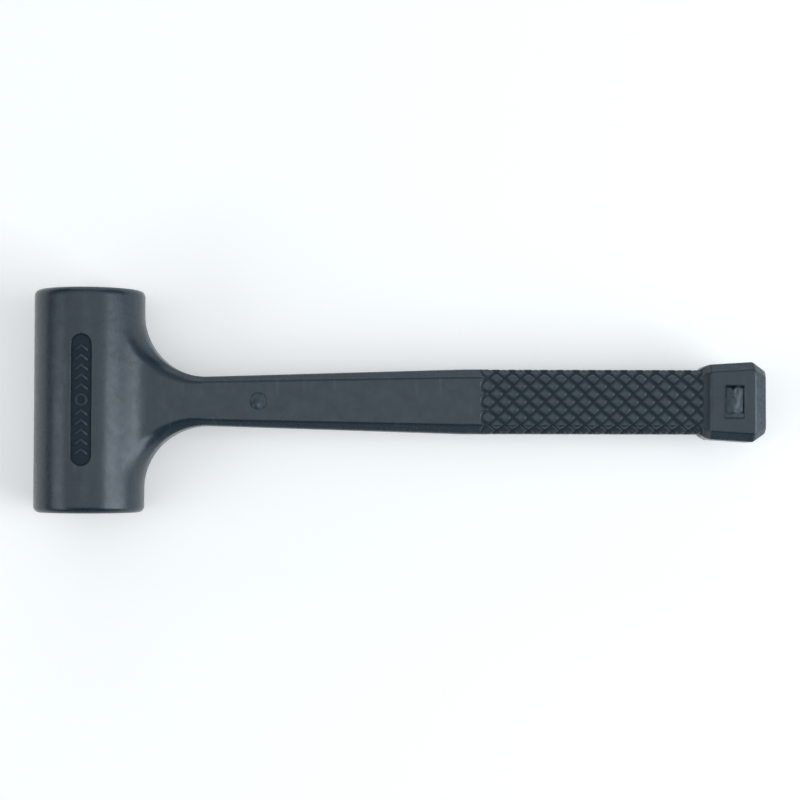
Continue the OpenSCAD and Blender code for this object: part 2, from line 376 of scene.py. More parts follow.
def cut_grip(ring):
    """A ring of the grip with its grooves cut in along the section's normals, and how sunk each point is."""
    yz = ring[:, 1:]
    after, before = np.roll(yz, -1, axis=0), np.roll(yz, 1, axis=0)
    step = np.linalg.norm(after - yz, axis=1)
    run = np.concatenate([[0], np.cumsum(step)])
    perimeter, run = run[-1], run[:-1]
    tangent = (after - before) / np.linalg.norm(after - before, axis=1)[:, None]
    inward = np.column_stack([-tangent[:, 1], tangent[:, 0]])
    x = ring[:, 0]
    depth = groove_depth(x, run - run[TOP_MIDDLE], perimeter)
    # the corner between the grip's flat and the butt's bevel collects as much dirt as a groove
    corner = smooth(x, GRIP_END + 0.6, GRIP_END + 1.4) * (1 - smooth(x, GRIP_END + 3.4, GRIP_END + 4.6))
    corner *= smooth(np.abs(yz[:, 1]), GRIP_HALF_T - 0.6, GRIP_HALF_T - 0.2)
    sunk = np.maximum(depth / GROOVE_DEPTH, CORNER_DIRT * corner)
    return np.column_stack([x, yz + inward * depth[:, None]]), sunk


def spaced(start, end, step):
    """Stations from start up to but not including end, about a step apart."""
    return list(np.linspace(start, end, max(1, round((end - start) / step)) + 1)[:-1])


# ------------------------ jacket
NECK_PLUG = sum(box_mm("top_neck_plug")) / 2
PLUG_TOP = box_mm("top_neck_plug")[1][2]
PLUG_HOLE_R = 3.5
WINDOW_LOW, WINDOW_HIGH = box_mm("top_window_plug")
WINDOW = (WINDOW_LOW + WINDOW_HIGH) / 2
WINDOW_GAP = 0.25
WINDOW_HALF = (WINDOW_HIGH - WINDOW_LOW)[:2] / 2 + WINDOW_GAP
WINDOW_CORNER = 0.6
POCKET_DEPTH = 3.2
# the mesh blocks round the plug hole and the window: half length along the handle, and half width in cells
PLUG_BLOCK, PLUG_COLUMNS = 4.6, 14
WINDOW_BLOCK, WINDOW_COLUMNS = 5.0, 16

# the marking recess: across and along the head, and the mesh block round it
LABEL_HALF = np.array([4.4, 26.6])
LABEL_DEPTH = 0.8
LABEL_ANGLE = 6.4 / HEAD_R
LABEL_ROWS = 21             # half the block's length in cells
LABEL_CELLS = 20            # the block's width in cells, round the head
BEFORE_LABEL_CELLS = 9      # from the neck's hole to the block
BACK_CELLS = 28             # from the block to the head's far side
BESIDE_HOLE_CELLS = 8       # along the head, from the neck's hole to the rim
RIM_CELLS = 6
FACE_CELLS = 5              # across a striking face, from its rim to the patch in its middle
FACE_PATCH_R = 12

# raised marks in the recess
MARK_HALF = 2.7             # half width of a mark across the recess
MARK_RISE = 2.0             # how long an arrowhead is along it
MARK_STROKE = 1.2
MARK_HEIGHT = 0.45
MARK_FIRST, MARK_PITCH, MARKS_EACH_SIDE = 5.2, 3.9, 5
MARK_PLACES = [side * (MARK_FIRST + MARK_PITCH * i) for side in (-1, 1) for i in range(MARKS_EACH_SIDE)]

# where the throat's sweep ends in the neck, and where it touches the barrel
SWEEP_X = math.sqrt((HEAD_R + THROAT_R) ** 2 - (NECK_HALF_T + THROAT_R) ** 2)
SWEEP_TOUCH = SWEEP_X * HEAD_R / (HEAD_R + THROAT_R)


def top_height(x):
    """Half thickness along the middle: the barrel, then the throat's sweep, then the neck's flat."""
    barrel = np.sqrt(np.maximum(HEAD_R**2 - x**2, 0))
    sweep = NECK_HALF_T + THROAT_R - np.sqrt(np.maximum(THROAT_R**2 - (SWEEP_X - x) ** 2, 0))
    return np.where(x < SWEEP_TOUCH, barrel, np.where(x < SWEEP_X, sweep, NECK_HALF_T))


def rounded_side(depth, height, lift, angle):
    """A circle's arc, stretched to start at (0, 0) towards (0, lift) and to end at (depth, height)."""
    a = np.linspace(0, angle, BAND_CELLS + 1)
    start, end = np.sin((angle - a) / 2), np.sin(a / 2)
    aim = 2 * math.cos(angle / 2) * start * end
    total = start**2 + aim + end**2
    return np.column_stack([end**2 * depth, aim * lift + end**2 * height]) / total[:, None]


def flare_ring(turn):
    """A ring of the flare where its side has turned by an angle from the head towards the neck."""
    section = quarter_section(*section_sizes(NECK_X))[: BAND_CELLS + 1]
    neck_depth = NECK_HALF_W - section[-1, 0]
    depth = neck_depth + (SIDE_DEPTH - neck_depth) * math.cos(turn)
    inner_x = NECK_X - (FLARE_R + depth) * math.cos(turn)
    height = float(top_height(inner_x))
    step = 0.01
    rise = float(top_height(inner_x + step) - top_height(inner_x - step))
    slope = rise / (2 * step) * math.cos(turn)
    # the side is round at the head, and more and more like the neck's section towards the neck
    likeness = float(smooth(turn, 0.2, 1.45))
    side = rounded_side(depth, height, height + slope * depth, HOLE_ANGLE + 0.4 * likeness)
    neck = np.column_stack([(NECK_HALF_W - section[:, 0]) / neck_depth * depth, section[:, 1] / NECK_HALF_T])
    neck[:, 1] *= height + slope * (depth - neck[:, 0])
    inset, z = ((1 - likeness) * side + likeness * neck).T
    band = np.column_stack([
        NECK_X - (FLARE_R + inset) * math.cos(turn),
        HOLE_HALF - (FLARE_R + inset) * math.sin(turn),
        z,
    ])
    y = band[-1, 1] * (1 - np.linspace(0, 1, FRONT_CELLS + 1)[1:])
    bulge = FLARE_BULGE * math.sin(turn) ** 2 * math.cos(turn)
    x = band[-1, 0] - bulge * (1 - (y / band[-1, 1]) ** 2)
    return whole_ring(np.vstack([band, np.column_stack([x, y, top_height(x)])]))


def add_flare(skin):
    turns = [math.pi / 2 * i / FLARE_RINGS for i in range(FLARE_RINGS + 1)]
    skin.grid(np.array([flare_ring(turn) for turn in turns]), closed=True)


def handle_rows():
    """Where the handle's mesh rings are, and the row numbers of the plug's and the window's blocks."""
    plug_x, window_x = NECK_PLUG[0], WINDOW[0]
    butt_start = GRIP_END - 0.6
    rows = spaced(NECK_X, plug_x - PLUG_BLOCK, NECK_STEP)
    plug_rows = [len(rows)]
    rows += spaced(plug_x - PLUG_BLOCK, plug_x + PLUG_BLOCK, PLUG_STEP)
    plug_rows.append(len(rows))
    rows += spaced(plug_x + PLUG_BLOCK, CUT_START, PLAIN_STEP)
    rows += spaced(CUT_START, butt_start, GRIP_STEP)
    rows += spaced(butt_start, window_x - WINDOW_BLOCK, BUTT_STEP)
    window_rows = [len(rows)]
    rows += spaced(window_x - WINDOW_BLOCK, window_x + WINDOW_BLOCK, WINDOW_STEP)
    window_rows.append(len(rows))
    rows += spaced(window_x + WINDOW_BLOCK, END_X, END_STEP)
    rows.append(END_X)
    return rows, plug_rows, window_rows


def add_butt_end(skin, ring):
    """Closes the butt's last ring with a slightly domed patch. Its corners are in the chamfers' middles."""
    corner = LAND_CELLS + ROUND_CELLS + SLANT_CELLS // 2
    across = 2 * (BAND_CELLS + FRONT_CELLS - corner)
    patch = coons(np.roll(ring, -corner, axis=0), across, 2 * corner)
    # the end is smaller than the butt's section: beside and above are about 1 at its edges
    beside = np.abs(patch[..., 1]) / BUTT_HALF_W * 1.3
    above = np.abs(patch[..., 2]) / BUTT_HALF_T * 1.5
    dome = 1 - np.maximum(beside, above) ** 2
    patch[1:-1, 1:-1, 0] += (REACH - END_X) * np.clip(dome[1:-1, 1:-1] * 2, 0, 1)
    skin.grid(patch)


def add_handle(skin):
    rows, plug_rows, window_rows = handle_rows()
    grid = np.array([handle_ring(x) for x in rows])
    sunk = np.zeros(grid.shape[:2])
    for row, x in enumerate(rows):
        if CUT_START < x < CUT_END:
            grid[row], sunk[row] = cut_grip(grid[row])
    holes = []
    for middle, up in ((TOP_MIDDLE, 1), (UNDER_MIDDLE, -1)):
        plug_block = (*plug_rows, middle - PLUG_COLUMNS, middle + PLUG_COLUMNS)
        window_block = (*window_rows, middle - WINDOW_COLUMNS, middle + WINDOW_COLUMNS)
        holes += [plug_block, window_block]

        def place(x, y, depth, up=up):
            height = np.interp(x, STATIONS[:, 0], STATIONS[:, 2])
            return np.stack([x, y, up * (height - depth)], axis=-1)

        # profiles as (inset, depth): a raised lip round the window, then the rim and the foot of both
        lip = [(-0.45, 0.0), (-0.25, -0.1), (-0.08, -0.08)]
        rim = [(0.0, 0.0), (0.05, 0.12), (0.08, 0.3)]
        foot = [(0.1, POCKET_DEPTH - 0.2), (0.3, POCKET_DEPTH)]
        flat = grid[..., :2]
        plug_half = (PLUG_HOLE_R, PLUG_HOLE_R)
        pocket(skin, flat, plug_block, place, NECK_PLUG[:2], plug_half, PLUG_HOLE_R, rim + foot)
        pocket(skin, flat, window_block, place, WINDOW[:2], WINDOW_HALF, WINDOW_CORNER, lip + rim + foot)
    skin.grid(grid, closed=True, holes=holes, sunk=sunk)
    add_butt_end(skin, grid[-1])


def mark_rings(outer, inner, floor, height, soft=0.12):
    """Cross sections of a raised mark between two paths: up from the floor, over the top and down again."""
    towards = inner - outer
    towards /= np.linalg.norm(towards, axis=1)[:, None]
    steps = [(outer, 0.1), (outer, soft - height), (outer + towards * soft, -height)]
    steps += [(inner - towards * soft, -height), (inner, soft - height), (inner, 0.1)]
    return [(path, floor + lift) for path, lift in steps]


def add_marks(skin, place, middle_u):
    """Raised plain marks along the recess: a ring in the middle, and a row of arrowheads to each side."""

    def raise_mark(outer, inner, closed):
        rings = mark_rings(outer, inner, LABEL_DEPTH, MARK_HEIGHT)
        placed = np.array([place(p[:, 0] + middle_u, p[:, 1], np.full(len(p), d)) for p, d in rings])
        skin.grid(np.concatenate([placed, placed[:1]]), closed=closed, material=MARKED)
        for end in () if closed else (0, -1):
            skin.grid(np.stack([placed[:3, end], placed[:2:-1, end]]), material=MARKED)

    ring_cells = 48
    turn = np.linspace(0, 2 * math.pi, ring_cells + 1)[:-1, None]
    circle = np.hstack([np.cos(turn), np.sin(turn)])
    raise_mark(circle * MARK_HALF, circle * (MARK_HALF - MARK_STROKE), True)
    arrow = np.array([(-1.0, -0.5), (0.0, 0.5), (1.0, -0.5)]) * (MARK_HALF, MARK_RISE)
    for y in MARK_PLACES:
        raise_mark(arrow + (0, y + MARK_STROKE / 2), arrow + (0, y - MARK_STROKE / 2), False)


def head_columns():
    """Angles round the head from the edge of the neck's hole on, and the columns of the two recesses."""
    quarter = math.pi / 2
    hole = list(np.linspace(-HOLE_ANGLE, HOLE_ANGLE, 2 * BAND_CELLS + 1)[:-1])
    first = list(np.linspace(HOLE_ANGLE, quarter - LABEL_ANGLE, BEFORE_LABEL_CELLS + 1)[:-1])
    label = list(np.linspace(quarter - LABEL_ANGLE, quarter + LABEL_ANGLE, LABEL_CELLS + 1)[:-1])
    back = list(np.linspace(quarter + LABEL_ANGLE, 2 * quarter, BACK_CELLS + 1)[:-1])
    half = first + label + back
    far = [4 * quarter - a for a in (half + [2 * quarter])[:0:-1]]
    angles = hole + half + far
    top_start = len(hole) + len(first)
    under_start = len(angles) - len(first) - len(label)
    top_label = (top_start, top_start + len(label))
    under_label = (under_start, under_start + len(label))
    return np.array(angles), top_label, under_label


def add_striking_faces(skin, angles):
    """The rounded rim and the flat face at both ends of the head."""
    turns = np.linspace(0, math.pi / 2, RIM_CELLS + 1)
    rim = [(HEAD_HALF - RIM_R + RIM_R * math.sin(a), HEAD_R - RIM_R + RIM_R * math.cos(a)) for a in turns]
    flat = [(HEAD_HALF, r) for r in np.linspace(HEAD_R - RIM_R, FACE_PATCH_R, FACE_CELLS + 1)[1:]]
    around = len(angles) // 4
    for side in (-1, 1):
        face = np.array([
            np.column_stack([r * np.cos(angles), np.full(len(angles), side * y), r * np.sin(angles)])
            for y, r in rim + flat
        ])
        skin.grid(face, closed=True)
        skin.grid(coons(face[-1], around, around))


def add_head(skin):
    angles, top_label, under_label = head_columns()
    outer = list(np.linspace(HOLE_HALF, HEAD_HALF - RIM_R, BESIDE_HOLE_CELLS + 1)[1:])
    inner = list(np.linspace(-HOLE_HALF, HOLE_HALF, 2 * FRONT_CELLS + 1))
    ys = np.array([-y for y in outer[::-1]] + inner + outer)
    first = len(outer)
    middle = first + FRONT_CELLS
    along, around = np.meshgrid(ys, angles, indexing="ij")
    barrel = np.stack([HEAD_R * np.cos(around), along, HEAD_R * np.sin(around)], axis=-1)
    hole = (first, first + 2 * FRONT_CELLS, 0, 2 * BAND_CELLS)
    blocks = [(middle - LABEL_ROWS, middle + LABEL_ROWS, *c) for c in (top_label, under_label)]
    skin.grid(barrel, closed=True, holes=[hole] + blocks)
    flat = np.stack([HEAD_R * around, along], axis=-1)
    # the recess's profile as (inset, depth)
    rim = [(0.0, 0.0), (0.07, 0.02), (0.17, 0.1), (0.22, 0.24)]
    foot = [(0.26, LABEL_DEPTH - 0.2), (0.34, LABEL_DEPTH - 0.05), (0.5, LABEL_DEPTH)]

    def place(u, y, depth):
        r = HEAD_R - depth
        return np.stack([r * np.cos(u / HEAD_R), y, r * np.sin(u / HEAD_R)], axis=-1)

    for block, angle in zip(blocks, (math.pi / 2, 3 * math.pi / 2)):
        centre = np.array([HEAD_R * angle, 0])
        pocket(skin, flat, block, place, centre, LABEL_HALF, LABEL_HALF[0], rim + foot, RECESS)
        add_marks(skin, place, centre[0])
    add_striking_faces(skin, angles)


def cylinder_mesh(start, end, axis, radius, end_radius=None, sides=96):
    """A plain cylinder or cone along X or Y, closed at both ends."""
    if end_radius is None:
        end_radius = radius
    middle = (start + end) / 2
    if axis == "X":
        turn = Matrix.Rotation(math.pi / 2, 4, "Y")
        shift = Matrix.Translation((middle, 0, 0))
    else:
        turn = Matrix.Rotation(-math.pi / 2, 4, "X")
        shift = Matrix.Translation((0, middle, 0))
    bm = bmesh.new()
    cone = {"radius1": radius, "radius2": end_radius, "depth": end - start}
    bmesh.ops.create_cone(bm, cap_ends=True, segments=sides, **cone)
    bmesh.ops.transform(bm, matrix=Matrix.Scale(MM, 4) @ shift @ turn, verts=bm.verts)
    mesh = bpy.data.meshes.new("cavity_part")
    bm.to_mesh(mesh)
    bm.free()
    return mesh


def cavity_mesh():
    """The room inside the jacket for the canister, socket, weld and core, as one closed surface."""
    can_r, can_half, _ = box_mm("canister_tube")[1]
    socket_end, socket_r, _ = box_mm("core_socket")[1]
    weld_end = box_mm("socket_weld")[1][0]
    core_r = box_mm("handle_core")[1][1]
    core_end = box_mm("core_end_plug")[1][0]
    weld_leg = weld_end - can_r
    # those along X start inside the canister, each a little further in, so that no two ends coincide
    parts = [
        cylinder_mesh(-can_half, can_half, "Y", can_r),
        cylinder_mesh(can_r - 4, weld_end, "X", socket_r + weld_leg, socket_r),
        cylinder_mesh(can_r - 5, socket_end, "X", socket_r),
        cylinder_mesh(can_r - 6, core_end, "X", core_r, sides=64),
    ]
    objects = [bpy.data.objects.new("cavity_part", mesh) for mesh in parts]
    for part in objects:
        bpy.context.scene.collection.objects.link(part)
    for other in objects[1:]:
        join = objects[0].modifiers.new("union", "BOOLEAN")
        join.operation = "UNION"
        join.solver = "EXACT"
        join.object = other
    evaluated = objects[0].evaluated_get(bpy.context.evaluated_depsgraph_get())
    mesh = bpy.data.meshes.new_from_object(evaluated)
    for part in objects:
        bpy.data.objects.remove(part)
    mesh.flip_normals()
    return mesh


PARTING_RIDGE = 0.07


def raise_parting_line(bm):
    """A faint ridge where the two halves of the mould met, all round at z = 0."""
    bm.normal_update()
    inside_rims = (HEAD_HALF - 0.3) * MM
    on_line = [v for v in bm.verts if abs(v.co.z) < 1e-6 and abs(v.co.y) < inside_rims]
    moves = [(v, v.normal * PARTING_RIDGE * MM) for v in on_line if abs(v.normal.z) < 0.3]
    for v, move in moves:
        v.co += move


def jacket_mesh():
    skin = Skin()
    add_head(skin)
    add_flare(skin)
    add_handle(skin)
    mesh = skin.mesh("rubber_jacket_skin")
    bm = bmesh.new()
    bm.from_mesh(mesh)
    raise_parting_line(bm)
    bm.from_mesh(cavity_mesh())
    bm.to_mesh(mesh)
    bm.free()
    smooth_shade(mesh)
    return mesh


# ------------------------ plugs
CORNER_SIGNS = [np.array(c, float) for c in ((-1, -1), (1, -1), (1, 1), (-1, 1))]
TOP_SEED, BOTTOM_SEED = 11, 29
PLUG_GAP = 0.03             # round the plugs, so that they don't touch the jacket
WINDOW_PLUG_GAP = 0.06
CORE_GAP = 0.25             # between the core and the plugs


def stud_mesh(name, centre, half, corner, cells, base, height, up, bevel=0.22):
    """A block that fills a pocket, from its base up to a top shaped by height(x, y)."""
    skin = Skin()

    def ring(inset, drop):
        outline = centre + rounded_outline(half - inset, max(corner - inset, SHARPEST), cells, CORNER_SIGNS)
        return np.column_stack([outline, height(outline[:, 0], outline[:, 1]) - drop])

    top = ring(bevel, 0.0)
    rounding = [(0.0, 1.1), (0.14, 0.55), (0.5, 0.14)]      # inset and drop, as parts of the bevel
    side = [ring(inset * bevel, drop * bevel) for inset, drop in rounding] + [top]
    foot = side[0] * (1, 1, 0) + (0, 0, base)
    lower = [foot + (side[0] - foot) * part for part in (0, 0.33, 0.67)]
    skin.grid(np.array(lower + side), closed=True)
    patch = coons(top, *cells)
    patch[1:-1, 1:-1, 2] = height(patch[1:-1, 1:-1, 0], patch[1:-1, 1:-1, 1])
    skin.grid(patch)
    skin.grid(coons(foot, *cells))
    skin.points = [points * (1, 1, up) for points in skin.points]
    mesh = skin.mesh(name)
    smooth_shade(mesh)
    return mesh


def lumps(x, y, seed, size, height):
    """Gentle irregular lumps of about a size and height: a few waves in seeded directions."""
    random.seed(seed)
    waves = 7
    total = np.zeros(np.shape(x))
    for _ in range(waves):
        angle, phase = random.uniform(0, math.tau), random.uniform(0, math.tau)
        stretch = random.uniform(0.7, 1.6) * math.tau / size
        total = total + np.sin((x * math.cos(angle) + y * math.sin(angle)) * stretch + phase)
    return total * height / 3


def neck_plug_top(seed):
    """The round plug: sunk towards the head and the rear, where it shrank, with a poured lump in front."""

    def height(x, y):
        x, y = x - NECK_PLUG[0], y - NECK_PLUG[1]
        sunk = 0.45 * smooth(0.75 * -x + 0.65 * y, -0.4, 2.6)
        lump = 0.75 * np.exp(-((x + 0.9) ** 2 + 0.8 * (y + 1.4) ** 2) / 1.4)
        edge = 0.05 * smooth(np.hypot(x, y), 2.3, 3.3)
        return PLUG_TOP + 0.05 - edge - sunk + lump + lumps(x, y, seed, 2.6, 0.05)

    return height


def window_plug_top(seed):
    """The window's block: a ridge across the handle, a notch at its rear end and a flush step in front."""

    def height(x, y):
        half_x, half_y = WINDOW_HALF
        x, y = x - WINDOW[0], y - WINDOW[1]
        across = (x + 0.55 - 0.09 * y) / half_x
        crown = np.where(across > 0, np.abs(across) ** 1.2, 1.35 * np.abs(across) ** 1.25)
        notch = 1.5 * smooth(1.75 - np.abs(x + 0.7) - (half_y - y) * 0.9, 0.0, 0.8)
        slot = 0.9 * smooth(y, half_y - 0.85, half_y - 0.5)
        step = smooth(-y, half_y - 2.6, half_y - 1.4)
        body = BUTT_HALF_T + 0.4 - crown - notch - slot + lumps(x, y, seed, 3.6, 0.1)
        flush = BUTT_HALF_T - 0.08 - 0.3 * smooth(-x / half_x, 0.0, 1.0)
        flush = flush + lumps(x, y, seed + 1, 3.0, 0.05)
        return body + (flush - body) * step

    return height


def add_plugs():
    """The four plugs, each a hair smaller than its hole, from just outside the core up."""
    base = box_mm("handle_core")[1][2] + CORE_GAP
    disc_half = np.array([PLUG_HOLE_R, PLUG_HOLE_R]) - PLUG_GAP
    block_half = WINDOW_HALF - WINDOW_PLUG_GAP
    disc = (NECK_PLUG[:2], disc_half, disc_half[0], (20, 20), base)
    block = (WINDOW[:2], block_half, WINDOW_CORNER - 0.1, (30, 50), base)
    for side, up, seed in (("top", 1, TOP_SEED), ("bottom", -1, BOTTOM_SEED)):
        meshes = {
            "neck_plug": stud_mesh(f"{side}_neck_plug_look", *disc, neck_plug_top(seed), up, bevel=0.12),
            "window_plug": stud_mesh(f"{side}_window_plug_look", *block, window_plug_top(seed), up),
        }
        for look, mesh in meshes.items():
            piece = new_piece(f"{side}_{look}_look", mesh, MALLET, "plug_rubber", f"{side}_{look}")
            assign(piece, PLUG)


# ------------------------ shot
def loose_parts(mesh):
    """The points of a mesh in metres, and for each point the number of the loose part it is in."""
    points = np.empty(len(mesh.vertices) * 3)
    mesh.vertices.foreach_get("co", points)
    ends = np.empty(len(mesh.edges) * 2, int)
    mesh.edges.foreach_get("vertices", ends)
    a, b = ends.reshape(-1, 2).T
    part = np.arange(len(mesh.vertices))
    while True:
        low = np.minimum(part[a], part[b])
        joined = part.copy()
        np.minimum.at(joined, a, low)
        np.minimum.at(joined, b, low)
        joined = joined[joined]
        if (joined == part).all():
            return points.reshape(-1, 3), part
        part = joined


def ball_shape():
    """The points and triangles of a ball of radius 1."""
    bm = bmesh.new()
    bmesh.ops.create_icosphere(bm, subdivisions=3, radius=1)
    points = np.array([v.co for v in bm.verts])
    faces = np.array([[v.index for v in f.verts] for f in bm.faces])
    bm.free()
    return points, faces


# a ball of shot, in parts of its radius
OUT_OF_ROUND = 0.018
FLATS = 9
FLAT_DEPTH = 0.03
FLAT_EDGE = 0.86            # cosine of the angle between a flat's middle and its edge


def tumbled(directions, rng):
    """A ball's radius in each direction: a little out of round, with worn flats."""
    flats = rng.normal(size=(FLATS, 3))
    flats /= np.linalg.norm(flats, axis=1)[:, None]
    facing = np.clip((directions @ flats.T - FLAT_EDGE) / (1 - FLAT_EDGE), 0, 1)
    return 1 - OUT_OF_ROUND * np.abs(directions[:, :1]) - FLAT_DEPTH * (facing**1.5).max(axis=1)[:, None]


def add_shot():
    """Tumbled shot in place of the CAD's true spheres, each ball turned its own way."""
    unit, faces = ball_shape()
    for layer in frame["record"]["behaviour"]["bodies"][CHARGE]:
        rng = np.random.default_rng(int(layer[-2:]))
        points, part = loose_parts(frame["nodes"][layer].data)
        made, drawn = [], []
        for number in np.unique(part):
            ball = points[part == number]
            low, high = ball.min(axis=0), ball.max(axis=0)
            radius = (high - low).min() / 2
            turn = np.linalg.qr(rng.normal(size=(3, 3)))[0]
            directions = unit @ turn
            drawn.append(faces + len(made) * len(unit))
            made.append((low + high) / 2 + directions * tumbled(directions, rng) * radius)
        mesh = bpy.data.meshes.new(f"{layer}_look")
        mesh.from_pydata(np.vstack(made).tolist(), [], np.vstack(drawn).tolist())
        smooth_shade(mesh)
        piece = new_piece(f"{layer}_look", mesh, CHARGE, "shot_steel", layer)
        assign(piece, SHOT)


# ------------------------ materials
def material(name):
    """A new material, its node tree and its shader."""
    mat = bpy.data.materials.new(name)
    mat.use_nodes = True
    return mat, mat.node_tree, mat.node_tree.nodes["Principled BSDF"]


def object_coords(tree):
    return tree.nodes.new("ShaderNodeTexCoord").outputs["Object"]


def noise(tree, scale, detail, roughness, coords):
    """Noise from 0 to 1, with about one lump in every 1 / scale metres."""
    made = tree.nodes.new("ShaderNodeTexNoise")
    made.inputs["Scale"].default_value = scale
    made.inputs["Detail"].default_value = detail
    made.inputs["Roughness"].default_value = roughness
    tree.links.new(coords, made.inputs["Vector"])
    return made.outputs["Fac"]


def ramp(tree, factor, stops):
    """A colour by a factor socket, from stops of (place, colour)."""
    made = tree.nodes.new("ShaderNodeValToRGB")
    elements = made.color_ramp.elements
    while len(elements) < len(stops):
        elements.new(0.5)
    for element, (place, colour) in zip(elements, stops):
        element.position = place
        element.color = (*colour, 1)
    tree.links.new(factor, made.inputs["Fac"])
    return made.outputs["Color"]


def grey(value):
    return (value, value, value)


def bump(tree, shader, height, strength, distance):
    made = tree.nodes.new("ShaderNodeBump")
    made.inputs["Strength"].default_value = strength
    made.inputs["Distance"].default_value = distance
    tree.links.new(height, made.inputs["Height"])
    tree.links.new(made.outputs["Normal"], shader.inputs["Normal"])


def combine(tree, kind, *values):
    """Adds, multiplies or otherwise combines greys, where each is a socket or a number."""
    made = tree.nodes.new("ShaderNodeMath")
    made.operation = kind
    for socket, value in zip(made.inputs, values):
        if isinstance(value, (int, float)):
            socket.default_value = value
        else:
            tree.links.new(value, socket)
    return made.outputs[0]


def tint(tree, base, other, factor):
    """A colour socket mixed towards another colour by a factor socket."""
    made = tree.nodes.new("ShaderNodeMix")
    made.data_type = "RGBA"
    colour_a, colour_b, mixed = made.inputs[6], made.inputs[7], made.outputs[2]
    tree.links.new(factor, made.inputs["Factor"])
    tree.links.new(base, colour_a)
    colour_b.default_value = (*other, 1)
    return mixed


def stretched(tree, coords, scale):
    """Coordinates scaled by a factor along each axis."""
    made = tree.nodes.new("ShaderNodeMapping")
    made.inputs["Scale"].default_value = scale
    tree.links.new(coords, made.inputs["Vector"])
    return made.outputs["Vector"]


def groove_mask(tree, start, full):
    """0 at one depth in the grip's grooves and 1 at another, from the mesh's own groove depth."""
    made = tree.nodes.new("ShaderNodeAttribute")
    made.attribute_name = "groove"
    return ramp(tree, made.outputs["Fac"], [(start, grey(0)), (full, grey(1))])


def shape_mask(tree, start, full):
    """0 at one pointiness of the surface and 1 at another. Over 0.5 it sticks out, under 0.5 it is hollow."""
    geometry = tree.nodes.new("ShaderNodeNewGeometry")
    low, high = sorted((start, full))
    ends = [(low, grey(float(low == full))), (high, grey(float(high == full)))]
    return ramp(tree, geometry.outputs["Pointiness"], ends)


# masks of the elastomer, as (where it is 0, where it is 1)
RUBBED_EDGES = (0.55, 0.64)         # pointiness
SHADED_CORNERS = (0.49, 0.43)       # pointiness: painted shade in hollow corners, with duller gloss and less shine
SHADE_IN_GROOVES = (0.35, 0.9)       # groove depth: painted shade towards the grooves' bottoms, with less shine
DULL_IN_GROOVES = (0.08, 0.55)      # groove depth: the gloss goes from the pads' edges on


def scuff_mask(tree, coords):
    """Sparse short scuffs that run along the head."""
    streaks = noise(tree, 420, 3, 0.5, stretched(tree, coords, (1, 0.12, 1)))
    return ramp(tree, streaks, [(0.63, grey(0)), (0.73, grey(0.45))])


def moulded_grain(tree, coords):
    """The height of a fine grain on broader unevenness and slow waves."""
    fine = noise(tree, 2300, 3, 0.55, coords)
    broad = noise(tree, 300, 4, 0.55, coords)
    wave = noise(tree, 75, 2, 0.5, coords)
    height = combine(tree, "ADD", fine, combine(tree, "MULTIPLY", broad, 1.5))
    return combine(tree, "ADD", height, combine(tree, "MULTIPLY", wave, 8.0))


def elastomer(name, colours, rough, grain, wear=0.3, specular=0.5):
    """Moulded elastomer: clouded colour, uneven gloss, fine grain, rubbed edges, scuffs, and hollows with
    painted shade and duller gloss.
    """
    mat, tree, shader = material(name)
    dark, light, worn = colours
    coords = object_coords(tree)
    corner = shape_mask(tree, *SHADED_CORNERS)
    # hollow: where shade is painted, in hollow corners and towards the grooves' bottoms
    hollow = combine(tree, "MAXIMUM", corner, groove_mask(tree, *SHADE_IN_GROOVES))
    dull = combine(tree, "MAXIMUM", corner, groove_mask(tree, *DULL_IN_GROOVES))

    cloud = noise(tree, 95, 9, 0.75, coords)
    colour = ramp(tree, cloud, [(0.3, dark), (0.7, light)])
    speck = ramp(tree, noise(tree, 900, 2, 0.5, coords), [(0.3, grey(0.4)), (0.7, grey(1))])
    rubbed = combine(tree, "MULTIPLY", shape_mask(tree, *RUBBED_EDGES), wear)
    rubbed = combine(tree, "MULTIPLY", rubbed, speck)
    colour = tint(tree, colour, worn, combine(tree, "ADD", rubbed, scuff_mask(tree, coords)))
    # painted shade: hollow corners and groove bottoms darkened towards the dark colour
    colour = tint(tree, colour, [0.9 * c for c in dark], hollow)
    tree.links.new(colour, shader.inputs["Base Color"])

    # less shine where the hollow mask paints shade
    shine = ramp(tree, hollow, [(0, grey(specular)), (1, grey(0.62 * specular))])
    tree.links.new(shine, shader.inputs["Specular IOR Level"])
    blotch = noise(tree, 210, 7, 0.75, coords)
    gloss = ramp(tree, blotch, [(0.32, grey(rough - 0.06)), (0.7, grey(rough + 0.08))])
    gloss = combine(tree, "ADD", gloss, combine(tree, "MULTIPLY", dull, 0.35))
    tree.links.new(gloss, shader.inputs["Roughness"])
    bump(tree, shader, moulded_grain(tree, coords), 0.6, grain)
    return mat


def steel(name, dark, light, rough, scale, grain):
    """Bare or plated steel: patchy colour and gloss, with fine marks of tumbling or drawing."""
    mat, tree, shader = material(name)
    coords = object_coords(tree)
    shader.inputs["Metallic"].default_value = 1.0
    patch = noise(tree, scale, 8, 0.62, coords)
    tree.links.new(ramp(tree, patch, [(0.3, dark), (0.7, light)]), shader.inputs["Base Color"])
    marks = noise(tree, scale * 6, 5, 0.6, coords)
    gloss = ramp(tree, marks, [(0.3, grey(rough - 0.08)), (0.72, grey(rough + 0.1))])
    tree.links.new(gloss, shader.inputs["Roughness"])
    bump(tree, shader, marks, 0.4, grain)
    return mat


